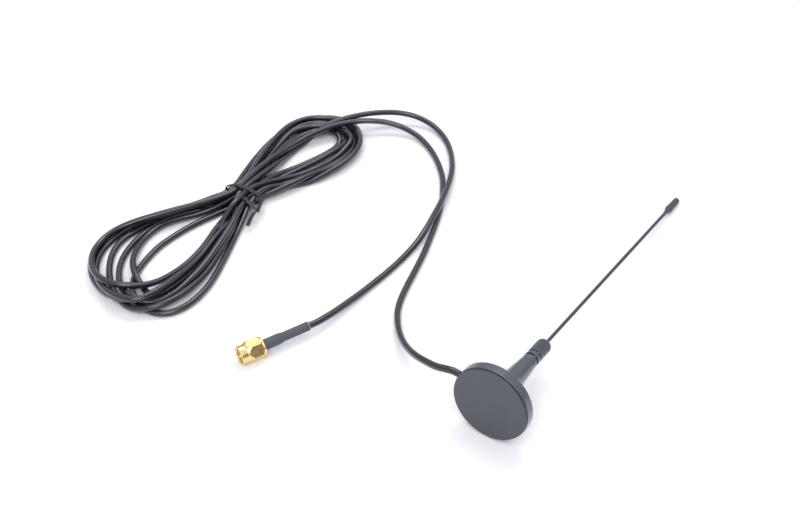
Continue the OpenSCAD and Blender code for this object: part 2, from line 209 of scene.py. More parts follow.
def moulded(name, colour, rough=(0.42, 0.56), vary=0.10, grain=2600, depth=0.000012,
            specular=0.5, blotch=90, speck=0.0, coat=0.0, slow_depth=0.00003):
    """Moulded plastic or rubber: slow colour drift, fine grain, and uneven gloss."""
    material, nt, bsdf = shader(name)
    where = nt.nodes.new("ShaderNodeTexCoord").outputs["Object"]
    drift = noise(nt, where, blotch, 4)
    base = ramp_between(nt, drift, tint(colour, 1 - vary), tint(colour, 1 + vary))
    if speck:
        dust = noise(nt, where, 5200, 2, 0.7)
        mask = spread(nt, dust, -1.6, 1.0)
        clamp = nt.nodes.new("ShaderNodeClamp")
        nt.links.new(mask, clamp.inputs["Value"])
        scale = nt.nodes.new("ShaderNodeMath")
        scale.operation = "MULTIPLY"
        scale.inputs[1].default_value = speck
        nt.links.new(clamp.outputs[0], scale.inputs[0])
        mix = nt.nodes.new("ShaderNodeMix")
        mix.data_type = "RGBA"
        nt.links.new(scale.outputs[0], mix.inputs["Factor"])
        nt.links.new(base, mix.inputs["A"])
        mix.inputs["B"].default_value = DUST_COLOUR
        base = mix.outputs["Result"]
    nt.links.new(base, bsdf.inputs["Base Color"])
    gloss = noise(nt, where, blotch * 5, 3)
    nt.links.new(spread(nt, gloss, *rough), bsdf.inputs["Roughness"])
    bsdf.inputs["Specular IOR Level"].default_value = specular
    bsdf.inputs["Coat Weight"].default_value = coat
    bsdf.inputs["Coat Roughness"].default_value = 0.22
    fine = noise(nt, where, grain, 3, 0.6)
    slow = noise(nt, where, 240, 2, 0.5)
    bumps(nt, bsdf, [(slow, slow_depth, 0.3), (fine, depth, 0.7)])
    return material


def metal(name, colour, rough, vary=0.05, stretch=None, scratch=1400, depth=0.000006,
          tarnish=None):
    """Plated or machined metal: fine marks, slow colour drift and uneven gloss."""
    material, nt, bsdf = shader(name)
    where = nt.nodes.new("ShaderNodeTexCoord").outputs["Object"]
    drift = noise(nt, where, 300, 4, 0.6)
    shades = ramp_between(nt, drift, tarnish or tint(colour, 1 - vary), tint(colour, 1 + vary / 2))
    nt.links.new(shades, bsdf.inputs["Base Color"])
    bsdf.inputs["Metallic"].default_value = 1.0
    marks = noise(nt, where, scratch, 4, 0.65, stretch)
    nt.links.new(spread(nt, marks, *rough), bsdf.inputs["Roughness"])
    bumps(nt, bsdf, [(drift, depth * 3, 0.25), (marks, depth, 0.6)])
    return material


BRAID_PERIOD, BRAID_ANGLE = 0.0006, 0.7


def braid(name, colour):
    """Woven tinned wires: two crossing sets of fine waves, with painted shade darkening the valleys between the
    wires.
    """
    material, nt, bsdf = shader(name)
    where = nt.nodes.new("ShaderNodeTexCoord").outputs["Object"]
    bsdf.inputs["Metallic"].default_value = 1.0
    heights = []
    for angle in (BRAID_ANGLE, -BRAID_ANGLE):
        mapping = nt.nodes.new("ShaderNodeMapping")
        mapping.inputs["Rotation"].default_value = (angle, angle, angle)
        nt.links.new(where, mapping.inputs["Vector"])
        wave = nt.nodes.new("ShaderNodeTexWave")
        wave.inputs["Scale"].default_value = 0.314 / BRAID_PERIOD
        wave.inputs["Distortion"].default_value = 1.5
        nt.links.new(mapping.outputs["Vector"], wave.inputs["Vector"])
        heights.append(wave.outputs["Fac"])
    join = nt.nodes.new("ShaderNodeMath")
    join.operation = "MAXIMUM"
    nt.links.new(heights[0], join.inputs[0])
    nt.links.new(heights[1], join.inputs[1])
    # painted shade: the low parts of the weave, between the wires, are darkened to 0.45 of the colour, while the
    # crests keep it
    shades = ramp_between(nt, join.outputs[0], tint(colour, 0.45), colour, 0.2, 0.8)
    nt.links.new(shades, bsdf.inputs["Base Color"])
    nt.links.new(spread(nt, join.outputs[0], 0.5, 0.28), bsdf.inputs["Roughness"])
    bumps(nt, bsdf, [(join.outputs[0], 0.00008, 0.8)])
    return material


CHARCOAL = (0.058, 0.064, 0.079)
looks = {
    "charcoal_plastic": moulded("charcoal_plastic", CHARCOAL, (0.28, 0.34), 0.04, 3200, 0.000003,
                                0.6, coat=0.6, slow_depth=0.00001),
    "pad_plastic": moulded("pad_plastic", (0.046, 0.050, 0.064), (0.32, 0.42), 0.05, 3400,
                           0.000003, speck=0.02, coat=0.3, slow_depth=0.00001),
    "nickel_plate": metal("nickel_plate", (0.66, 0.64, 0.60), (0.14, 0.3)),
    "zinc_steel": metal("zinc_steel", (0.60, 0.61, 0.63), (0.32, 0.48), 0.1),
    "brass": metal("brass", (0.80, 0.60, 0.28), (0.18, 0.34), 0.06),
    "cord_jacket": moulded("cord_jacket", (0.0085, 0.0115, 0.018), (0.24, 0.29), 0.06, 2600,
                           0.000001, 0.6, 40, coat=0.5, slow_depth=0.000004),
    "dielectric": moulded("dielectric", (0.80, 0.81, 0.79), (0.35, 0.5), 0.03),
    "copper": metal("copper", (0.86, 0.47, 0.30), (0.2, 0.36), 0.08),
    "tinned_copper": braid("tinned_copper", (0.72, 0.70, 0.66)),
    "solder": metal("solder", (0.70, 0.71, 0.72), (0.2, 0.45), 0.1, scratch=2600,
                    depth=0.00002),
    "seal_rubber": moulded("seal_rubber", (0.045, 0.049, 0.060), (0.5, 0.62), 0.1),
    "spring_steel": metal("spring_steel", (0.56, 0.57, 0.58), (0.2, 0.34), 0.05, (1, 0.05, 1),
                          3000),
    "whip_sleeve_plastic": moulded("whip_sleeve_plastic", (0.046, 0.050, 0.060), (0.42, 0.55),
                                   0.08, 3000, 0.000008),
    "tip_rubber": moulded("tip_rubber", (0.060, 0.066, 0.080), (0.55, 0.68), 0.07, 2400,
                          0.000014),
    "tie_plastic": moulded("tie_plastic", (0.018, 0.019, 0.022), (0.32, 0.46), 0.12, 2600,
                           0.000012),
    "shrink_sleeve": moulded("shrink_sleeve", (0.068, 0.074, 0.088), (0.5, 0.64), 0.07, 2200,
                             0.000016, speck=0.04),
    "gold_plate": metal("gold_plate", (0.91, 0.68, 0.33), (0.24, 0.32), 0.04, None, 900,
                        0.0000004, (0.88, 0.63, 0.26)),
    "cut_edge": moulded("cut_edge", (0.42, 0.44, 0.49), (0.5, 0.6), 0.1),
    "ptfe": moulded("ptfe", (0.86, 0.86, 0.83), (0.35, 0.5), 0.02),
    "gasket_silicone": moulded("gasket_silicone", (0.50, 0.11, 0.06), (0.5, 0.65), 0.08),
}
slot_of = {part["node"]: part["material_slot"] for part in record["subparts"]}
for name, node in nodes.items():
    for place in node.material_slots:
        place.material = looks[slot_of[name]]


# ---- mesh helpers ----

ANT_AXIS = Vector(joints["whip_lift"]["axis"]).normalized()
ANT_FACE = Vector(mounts["magnet_face"]["pos_m"])
PLUG_BACK = -Vector(joints["coupling_nut_spin"]["axis"]).normalized()
THREAD_MOUNT_S = 2.5
PLUG_MOUTH = Vector(mounts["coupling_thread"]["pos_m"]) - PLUG_BACK * THREAD_MOUNT_S * MM


def local_frame(origin, axis, side):
    """From millimetres in a frame whose third axis is the given one to metres in the row frame."""
    z = axis.normalized()
    y = z.cross(side).normalized()
    x = y.cross(z)
    turn = Matrix((x, y, z)).transposed().to_4x4()
    return Matrix.Translation(origin) @ turn @ Matrix.Scale(MM, 4)


ANT = local_frame(ANT_FACE, ANT_AXIS, Vector((1, 0, 0)))
PLUG = local_frame(PLUG_MOUTH, PLUG_BACK, PLUG_BACK.cross(Vector((0, 0, -1))))


def finish_mesh(name, vertices, faces, matrix, body, look, stands_for=(), sharp=35):
    """Makes a piece of a mesh given in local millimetres, rides it and gives it its look."""
    mesh = bpy.data.meshes.new(name)
    points = np.asarray(vertices, float)
    m = np.array(matrix)
    points = points @ m[:3, :3].T + m[:3, 3]
    mesh.from_pydata(points.tolist(), [], [list(map(int, f)) for f in faces])
    bm = bmesh.new()
    bm.from_mesh(mesh)
    bmesh.ops.remove_doubles(bm, verts=bm.verts, dist=1e-7)
    bmesh.ops.recalc_face_normals(bm, faces=bm.faces)
    bm.to_mesh(mesh)
    bm.free()
    for p in mesh.polygons:
        p.use_smooth = True
    mesh.set_sharp_from_angle(angle=math.radians(sharp))
    mesh.materials.append(looks[look])
    piece = add_object(name, mesh)
    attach(piece, body)
    if stands_for:
        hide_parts(*stands_for)
    return piece


def smooth_line(points, steps):
    """A smooth curve through the points: centripetal cubic pieces, with that many steps in each."""
    p = np.asarray(points, float)
    p = np.vstack([2 * p[0] - p[1], p, 2 * p[-1] - p[-2]])
    out = []
    for i in range(1, len(p) - 2):
        a, b, c, d = p[i - 1:i + 3]
        t0 = 0.0
        t1 = t0 + max(np.linalg.norm(b - a), 1e-9) ** 0.5
        t2 = t1 + max(np.linalg.norm(c - b), 1e-9) ** 0.5
        t3 = t2 + max(np.linalg.norm(d - c), 1e-9) ** 0.5
        for k in range(steps):
            t = t1 + (t2 - t1) * k / steps
            ab = (t1 - t) / (t1 - t0) * a + (t - t0) / (t1 - t0) * b
            bc = (t2 - t) / (t2 - t1) * b + (t - t1) / (t2 - t1) * c
            cd = (t3 - t) / (t3 - t2) * c + (t - t2) / (t3 - t2) * d
            abc = (t2 - t) / (t2 - t0) * ab + (t - t0) / (t2 - t0) * bc
            bcd = (t3 - t) / (t3 - t1) * bc + (t - t1) / (t3 - t1) * cd
            out.append((t2 - t) / (t2 - t1) * abc + (t - t1) / (t2 - t1) * bcd)
    out.append(p[-2])
    return np.array(out)


def even_line(points, gap):
    """The same curve with its points that far apart."""
    run = np.r_[0, np.cumsum(np.linalg.norm(np.diff(points, axis=0), axis=1))]
    at = np.linspace(0, run[-1], max(2, int(round(run[-1] / gap)) + 1))
    return np.column_stack([np.interp(at, run, points[:, k]) for k in range(3)])


def smooth_profile(control):
    """A smooth run of (s, r) points through these ones."""
    curve = smooth_line([(s, r, 0) for s, r in control], 5)
    return [tuple(p) for p in curve[:, :2].tolist()]


def unit_rows(rows):
    """Each row as a direction."""
    return rows / np.linalg.norm(rows, axis=1, keepdims=True)


def swept_faces(stations, around):
    """Faces of a section of that many points swept over the stations, with both ends closed."""
    faces = []
    for i in range(stations - 1):
        for k in range(around):
            a, b = i * around + k, i * around + (k + 1) % around
            faces.append((a, b, b + around, a + around))
    faces.append(tuple(range(around)))
    faces.append(tuple((stations - 1) * around + k for k in range(around)))
    return faces


def arc(centre, radius, start, end, steps):
    """Points (s, r) of a circular arc. Angles are in degrees, from along the axis to outwards."""
    angles = [math.radians(start + (end - start) * k / steps) for k in range(steps + 1)]
    return [(centre[0] + radius * math.cos(a), centre[1] + radius * math.sin(a)) for a in angles]


def revolve(profile, turns, warp=None):
    """A skin of (s, r) points turned about the axis. warp(s, r, angle) may change r off it."""
    vertices, rings = [], []
    for s, r in profile:
        if r < 1e-6:
            rings.append([len(vertices)])
            vertices.append((0, 0, s))
            continue
        ring = []
        for k in range(turns):
            a = 2 * math.pi * k / turns
            q = warp(s, r, a) if warp else r
            ring.append(len(vertices))
            vertices.append((q * math.cos(a), q * math.sin(a), s))
        rings.append(ring)
    faces = []
    for one, two in zip(rings, rings[1:]):
        for k in range(turns):
            a, b = one[k % len(one)], one[(k + 1) % len(one)]
            c, d = two[(k + 1) % len(two)], two[k % len(two)]
            face = list(dict.fromkeys((a, b, c, d)))
            if len(face) > 2:
                faces.append(face)
    return vertices, faces


# ---- base ----

NECK_TOP, RIM_TOP, RIM_R, NECK_R, NECK_TAPER = 27.3, 4.8, 15.0, 3.2, 0.077
RIM_INSET, FLARE_POWER = 0.4, 5.2
EXIT_S, EXIT_ANGLE, CORD_R = 2.9, 18.0, 1.4


def flare(s):
    """Outside radius of the neck, which widens slowly and then fast towards the rim."""
    run = NECK_TOP - RIM_TOP
    taper = NECK_TAPER * (NECK_TOP - s)
    width = RIM_R - RIM_INSET - NECK_R - NECK_TAPER * run
    return NECK_R + taper + width * ((NECK_TOP - s) / run) ** FLARE_POWER


def make_housing():
    """The rim and flared neck, hollow inside, with its edges rounded and the hole for the cord."""
    outer = [(0.8, 13.0), (0.8, 14.3), (0.84, 14.6)]
    outer += arc((1.12, RIM_R - 0.26), 0.26, 180, 90, 6)
    outer += [(1.6, RIM_R), (2.4, RIM_R), (3.4, RIM_R)]
    outer += arc((RIM_TOP - 0.55, RIM_R - 0.55), 0.55, 90, 12, 8)
    outer += [(s, flare(s)) for s in np.linspace(RIM_TOP + 0.06, NECK_TOP - 0.5, 90)]
    outer += arc((NECK_TOP - 0.12, 3.1), 0.12, 85, 0, 4)
    inner = [(NECK_TOP, 2.4), (NECK_TOP - 0.15, 2.25), (20.1, 2.25), (20.1, 1.1), (13.8, 1.1)]
    inner += [(13.8, 1.3)]
    inner += [(s, flare(s) - 1.4) for s in np.linspace(11.0, 5.4, 8)] + [(4.0, 13.0), (0.8, 13.0)]
    vertices, faces = revolve(outer + inner, 160)
    piece = finish_mesh("base_shell", vertices, faces, ANT, "base", "charcoal_plastic",
                        ("base_housing",))
    cutter = bpy.data.meshes.new("cut")
    bm = bmesh.new()
    turn = (Matrix.Rotation(math.radians(180 + EXIT_ANGLE), 4, "Z")
            @ Matrix.Rotation(math.radians(90), 4, "Y"))
    place = ANT @ Matrix.Translation((0, 0, EXIT_S)) @ turn @ Matrix.Translation((0, 0, 14))
    flared = place @ Matrix.Translation((0, 0, 0.95))
    for start_gap, end_gap, depth, where in ((0.05, 0.05, 6, place), (0.03, 0.75, 0.7, flared)):
        bmesh.ops.create_cone(bm, cap_ends=True, segments=40, radius1=CORD_R + start_gap,
                              radius2=CORD_R + end_gap, depth=depth, matrix=where)
    bm.to_mesh(cutter)
    bm.free()
    tool = add_object("cut", cutter)
    cut = piece.modifiers.new("hole", "BOOLEAN")
    cut.operation, cut.solver, cut.object, cut.use_self = "DIFFERENCE", "EXACT", tool, True
    apply_modifiers(piece)
    bpy.data.objects.remove(tool)
    piece.data.set_sharp_from_angle(angle=math.radians(35))


def apply_modifiers(piece):
    """Keeps the shape that the piece's modifiers give."""
    bpy.context.view_layer.update()
    graph = bpy.context.evaluated_depsgraph_get()
    shaped = bpy.data.meshes.new_from_object(piece.evaluated_get(graph))
    piece.modifiers.clear()
    piece.data = shaped


def make_pad():
    """The magnet's round cover: barely dished, with a gate mark in its middle, its edge rounded."""
    face = [(0.05, 0), (0.05, 0.25), (0.04, 0.35), (0.0, 0.45), (0.0, 0.75), (0.02, 0.9)]
    face += [(0.035, 2.0)]
    face += [(0.035 - 0.035 * (r / 14.2) ** 2, r) for r in (5, 8, 11, 12.5, 13.4, 13.9, 14.2)]
    face += arc((0.22, 14.46), 0.22, 180, 90, 8)
    face += [(0.34, 14.68), (0.42, 14.6), (0.5, 14.42), (0.56, 14.1)]
    back = [(0.6, 13.4), (0.6, 12.9), (1.2, 12.9), (1.2, 0)]
    vertices, faces = revolve(face + back, 160)
    finish_mesh("pad_cover", vertices, faces, ANT, "base", "pad_plastic", ("base_pad",))


# ---- whip ----

GRIP_S, GRIP_TOP, GRIP_R = 27.8, 42.7, 3.0
SLOT_ROWS, SLOT_HALVES, SLOT_DEPTH = (30.4, 33.0), (0.55, 0.4), 0.7
WEB_AT, WEB_HALF = 30.0, 8.0
RIB_S, RIBS, RIB_DEPTH = (34.0, 40.8), 24, 0.32


def grip_radius(s, r, angle):
    """Slots in two rings, with four webs between, and fine ribs towards the top."""
    if r < 2.55 or s > GRIP_TOP - 1.2:
        return r
    off = (math.degrees(angle) - WEB_AT + 45) % 90 - 45
    for row, half in zip(SLOT_ROWS, SLOT_HALVES):
        if abs(s - row) < half and abs(off) > WEB_HALF:
            edge = min(1.0, (abs(off) - WEB_HALF) / 1.3)
            return r - SLOT_DEPTH * edge
    if RIB_S[0] <= s <= RIB_S[1]:
        fade = min(1.0, (s - RIB_S[0]) / 0.35, (RIB_S[1] - s) / 0.5)
        wave = 0.5 - 0.5 * math.cos(angle * RIBS)
        return r - RIB_DEPTH * fade * wave ** 2.2
    return r


def make_grip():
    """The grip: its slots and ribs, a rounded top, and the bore that the insert fills."""
    stations = [(GRIP_S, 2.85)] + arc((GRIP_S + 0.15, GRIP_R - 0.15), 0.15, 180, 90, 4)
    stations += [(29.2, GRIP_R)]
    for row, half in zip(SLOT_ROWS, SLOT_HALVES):
        for at in (row - half, row + half):
            stations += [(at + step, GRIP_R) for step in (-0.05, -0.012, 0.012, 0.05)]
    stations += [(s, GRIP_R) for s in np.linspace(33.6, 40.3, 44)]
    stations += [(40.3 + 2.4 * math.sin(a), GRIP_R * math.cos(a) ** 0.96)
                 for a in map(math.radians, range(4, 74, 4))]
    stations += [(GRIP_TOP - 0.03, 0.86), (GRIP_TOP - 0.06, 0.8), (GRIP_TOP - 0.3, 0.75)]
    inner = [(35.75, 0.75), (35.75, 2.15), (GRIP_S, 2.15), (GRIP_S, 2.85)]
    vertices, faces = revolve(stations + inner, 360, grip_radius)
    finish_mesh("whip_collar", vertices, faces, ANT, "whip", "charcoal_plastic", ("whip_grip",), 30)


def make_sleeve():
    """The plastic sleeve on the steel rod, with the slight waver of a drawn tube."""
    stations = np.linspace(36.05, 161.4, 150)

    def waver(s, r, angle):
        return r * (1 + 0.006 * math.sin(s * 0.9) * math.sin(s * 0.23 + 1)
                    + 0.004 * math.cos(2 * angle + s * 0.05))

    profile = [(36.0, 0.47), (36.0, 0.66)] + [(s, 0.693) for s in stations]
    profile += [(161.45, 0.66), (161.45, 0.47), (36.0, 0.47)]
    vertices, faces = revolve(profile, 40, waver)
    finish_mesh("whip_skin", vertices, faces, ANT, "whip", "whip_sleeve_plastic",
                ("whip_sleeve",), 40)


def make_tip():
    """The rubber cap: a cone up to a collar, then a slimmer rounded end."""
    control = [(158.5, 0.8), (158.62, 0.84), (159.1, 0.92), (159.8, 1.1), (160.5, 1.32),
               (161.1, 1.49)]
    curve = smooth_profile(control)
    profile = [(158.5, 0.75)] + curve
    profile += [(161.2, 1.53), (161.35, 1.57), (161.6, 1.59), (162.4, 1.6), (163.1, 1.59)]
    profile += [(163.28, 1.56), (163.36, 1.5), (163.4, 1.42), (163.5, 1.42), (163.6, 1.445)]
    profile += [(164.5, 1.45), (166, 1.445), (168, 1.45), (169.4, 1.45)]
    profile += arc((170.55, 0), 1.45, 90, 4, 14) + [(172.0, 0)]
    vertices, faces = revolve(profile, 64)
    bore = len(vertices)
    hollow = [(158.5, 0.75), (161.55, 0.75), (161.55, 0.47), (163.6, 0.47), (163.6, 0)]
    inner, inner_faces = revolve(hollow, 64)
    vertices += inner
    faces += [[bore + i for i in f] for f in inner_faces]
    finish_mesh("tip_cap", vertices, faces, ANT, "whip", "tip_rubber", ("whip_tip",), 40)


# ---- plug ----

NUT_L, NUT_FLAT, NUT_FRONT_R, NUT_FRONT_L = 10.2, 4.0, 3.8, 2.6
THREAD_PITCH, THREAD_R = 25.4 / 36, 3.0


def soft_min(a, b, k=0.05):
    """The smaller of two radii, with the edge between them rounded a little."""
    h = max(k - abs(a - b), 0.0) / k
    return min(a, b) - h * h * k / 4


def make_nut():
    """The coupling nut: a front ring, a hexagon with long chamfers, a rear collar and a thread."""
    front = [(0.0, 3.3), (0.0, 3.5)] + arc((0.26, NUT_FRONT_R - 0.26), 0.26, 180, 90, 6)
    front += [(s, NUT_FRONT_R) for s in (0.6, 1.1, 1.6, 2.0)]
    front += [(2.3, 3.78), (2.45, 3.75), (NUT_FRONT_L, 3.74)]
    turned = [(2.66, 3.76), (2.8, 3.84), (3.1, 3.97), (3.5, 4.13), (3.9, 4.3), (4.3, 4.46)]
    turned += [(4.6, 4.58), (4.8, 4.66)]
    turned += [(s, 4.7) for s in (5.0, 5.6, 6.4, 7.2, 7.9, 8.3)]
    turned += [(8.45, 4.66), (8.6, 4.56), (8.8, 4.4), (9.0, 4.22), (9.15, 4.1), (9.25, 4.0)]
    turned += [(9.3, 3.92)]
    back = [(9.36, 3.88), (9.44, 3.9), (9.6, 3.95), (9.8, 3.94), (9.98, 3.88), (10.1, 3.78),
            (10.18, 3.66), (NUT_L, 3.5), (NUT_L, 2.8), (NUT_L - 0.15, 2.66)]
    bore = [(7.2, 2.66), (7.2, 3.15), (6.3, 3.15), (6.3, 2.66), (5.62, 2.66), (5.6, THREAD_R)]
    thread = [(s, THREAD_R) for s in np.arange(5.5, 0.5, -0.07)]
    thread += [(0.46, 3.04), (0.22, 3.18), (0.0, 3.3)]

    def shape(s, r, angle):
        if r > 3.75 and NUT_FRONT_L < s < 9.28:
            corner = (math.degrees(angle) + 60) % 60 - 30
            return soft_min(r, (NUT_FLAT - 0.01) / math.cos(math.radians(corner)))
        if r == THREAD_R and 0.5 < s < 5.6:
            step = (s / THREAD_PITCH - angle / (2 * math.pi)) % 1.0
            fade = min(1.0, (s - 0.5) / 0.5, (5.55 - s) / 0.4)
            return 2.98 + 0.2 * max(0.0, fade) * (1 - abs(2 * step - 1))
        return r

    vertices, faces = revolve(front + turned + back + bore + thread, 240, shape)
    return finish_mesh("hex_nut", vertices, faces, PLUG, "nut", "gold_plate", ("coupling_nut",), 28)


def make_shrink():
    """The shrunk sleeve: it shows the ferrule below as a step, and its cut ends are square."""
    outer = [(10.42, 1.97), (10.44, 2.1), (10.5, 2.17), (10.62, 2.2)]
    control = [(10.62, 2.2), (12, 2.2), (13.5, 2.18), (15, 2.2), (17, 2.19), (17.6, 2.17),
               (18.1, 2.08), (18.6, 1.96), (19.2, 1.9), (20.2, 1.885), (23, 1.88), (26, 1.87),
               (28.5, 1.88), (30.1, 1.885)]
    curve = smooth_profile(control)
    outer += curve[1:] + [(30.4, 1.885), (30.47, 1.875), (30.5, 1.85), (30.5, 1.7)]
    inner = [(30.47, 1.5), (30.4, 1.43), (17.7, 1.43), (17.6, 1.93), (10.42, 1.93), (10.42, 1.97)]

    def uneven(s, r, angle):
        if r < 1.86:
            return r
        ripple = (math.sin(s * 1.7 + 2 * angle) * math.sin(s * 0.53 + angle)
                  + 0.6 * math.sin(3 * angle + s * 0.31))
        return r - 0.018 * (1 + ripple * 0.5)

    vertices, faces = revolve(outer + inner, 96, uneven)
    return finish_mesh("shrink_tube", vertices, faces, PLUG, "base", "shrink_sleeve",
                       ("heat_shrink",), 40)


def make_shrink_lip():
    """The cut end of the shrunk sleeve, paler where the blade bruised it."""
    ring = [(30.34, 1.89), (30.5, 1.895), (30.52, 1.86), (30.52, 1.46), (30.44, 1.45),
            (30.34, 1.6), (30.34, 1.89)]
    vertices, faces = revolve(ring, 96)
    return finish_mesh("shrink_lip", vertices, faces, PLUG, "base", "cut_edge", (), 40)


# ---- cord and tie ----

def frames_along(line, first_up):
    """The side and up directions at each point, turning as little as possible."""
    tangent = unit_rows(np.gradient(line, axis=0))
    up = np.array(first_up, float)
    ups = []
    for t in tangent:
        up = up - (up @ t) * t
        up /= np.linalg.norm(up)
        ups.append(up)
    ups = np.array(ups)
    return np.cross(tangent, ups), ups


CORD_SIDES, CORD_GAP, ROUTE_STEPS = 14, 1.25, 8


def make_cord():
    """The whole coax cord as one tube along its route."""
    route = np.array([[float(v) for v in p.split(",")] for p in CORD_ROUTE.split()]) / ROUTE_UNITS
    line = even_line(smooth_line(route, ROUTE_STEPS), CORD_GAP)
    side, up = frames_along(line, (0, 0, 1))
    run = np.arange(len(line))
    radius = CORD_R * (0.992 + 0.006 * np.sin(run * 0.37) * np.sin(run * 0.111 + 1))
    vertices = []
    for i in range(len(line)):
        for k in range(CORD_SIDES):
            a = 2 * math.pi * k / CORD_SIDES
            away = math.cos(a) * side[i] + math.sin(a) * up[i]
            vertices.append(line[i] + radius[i] * away)
    piece = finish_mesh("coax_cord", vertices, swept_faces(len(line), CORD_SIDES),
                        Matrix.Scale(MM, 4), "base", "cord_jacket",
                        ("cord_lead", "cord_hank", "cord_tail"), 60)
    length = float(np.linalg.norm(np.diff(line, axis=0), axis=1).sum()) * MM
    return piece, line * MM, length


def ribbon(name, line, normals, section, look, stands_for):
    """A strip along a line in millimetres. Its section's points are (across, along the normal)."""
    tangent = unit_rows(np.gradient(line, axis=0))
    across = unit_rows(np.cross(tangent, normals))
    off = np.cross(across, tangent)
    vertices = [line[i] + w * across[i] + t * off[i] for i in range(len(line)) for w, t in section]
    return finish_mesh(name, vertices, swept_faces(len(line), len(section)),
                       Matrix.Scale(MM, 4), "base", look, stands_for, 45)


TIE_MIDDLE = np.array([-165.4, -27.9])
TIE_ACROSS, TIE_ALONG = np.array([0.987, 0.158]), np.array([-0.158, 0.987])
TIE_HALF_W, TIE_HALF_H, TIE_Z = 9.75, 4.15, 4.75
TIE_END = np.array([-150.6, -34.4, 5.4])
TWIST_R, TWIST_TURNS, TWIST_STEPS, LOOP_STEPS = 0.55, 2.25, 48, 60
FLAT_END = ((0.3, -1.6, 0.6), (0.2, -3.6, 0.2), (0.7, -5.8, -0.9), (1.3, -8.6, -2.6))
THIN_END = ((-1.4, -0.6, 0.7), (-3.6, 0.3, 1.5), (-6.2, 1.0, 2.1), (-9.4, 1.8, 2.3))
TIE_STRIP = [(-0.85, -0.14), (-0.4, -0.2), (-0.2, -0.36), (0.2, -0.36), (0.4, -0.2), (0.85, -0.14),
             (0.85, 0.14), (0.4, 0.2), (0.2, 0.36), (-0.2, 0.36), (-0.4, 0.2), (-0.85, 0.14)]


def make_tie():
    """A wired plastic twist tie: once round the bundle, its ends twisted together, then loose."""
    def at(u, along, z):
        p = TIE_MIDDLE + TIE_ACROSS * u + TIE_ALONG * along
        return np.array([p[0], p[1], z])

    start = at(TIE_HALF_W + 0.9, -0.2, 5.0)
    axis = (TIE_END - start) / np.linalg.norm(TIE_END - start)
    lift = np.array([0, 0, 1.0])
    lift = lift - (lift @ axis) * axis
    lift /= np.linalg.norm(lift)
    aside = np.cross(axis, lift)

    def helix(phase, outward):
        points, normals = [], []
        for k in range(TWIST_STEPS + 1):
            t = k / TWIST_STEPS
            angle = phase + 2 * math.pi * TWIST_TURNS * t
            away = math.cos(angle) * lift + math.sin(angle) * aside
            points.append(start + (TIE_END - start) * t + TWIST_R * away)
            normals.append(away)
        if not outward:
            points.reverse()
            normals.reverse()
        return points, normals

    loop, loop_n = [], []
    for k in range(LOOP_STEPS + 1):
        a = math.radians(12 + (336 * k / LOOP_STEPS))
        u, z = TIE_HALF_W * math.cos(a), TIE_Z + TIE_HALF_H * math.sin(a)
        u += 0.9 * max(0.0, -math.cos(a))
        loop.append(at(u, 0.25 * math.sin(a), max(z, 0.45)))
        loop_n.append(at(math.cos(a) / TIE_HALF_W, 0, math.sin(a) / TIE_HALF_H) - at(0, 0, 0))
    in_points, in_normals = helix(math.pi, False)
    out_points, out_normals = helix(0.0, True)
    flat_end = [TIE_END + np.array(q) for q in FLAT_END]
    thin_end = [TIE_END + np.array(q) for q in THIN_END]
    points = thin_end[::-1] + in_points + loop[::-1] + out_points + flat_end
    normals = [lift] * 4 + in_normals + loop_n[::-1] + out_normals + [lift] * 4
    points, normals = np.array(points), unit_rows(np.array(normals))
    line = smooth_line(points, 3)
    index = np.linspace(0, len(points) - 1, len(line))
    count = np.arange(len(points))
    up = np.column_stack([np.interp(index, count, normals[:, k]) for k in range(3)])
    for _ in range(6):
        line[1:-1] = (line[:-2] + 2 * line[1:-1] + line[2:]) / 4
        up[1:-1] = (up[:-2] + 2 * up[1:-1] + up[2:]) / 4
    return ribbon("tie_strip", line, up, TIE_STRIP, "tie_plastic", ("twist_tie",))


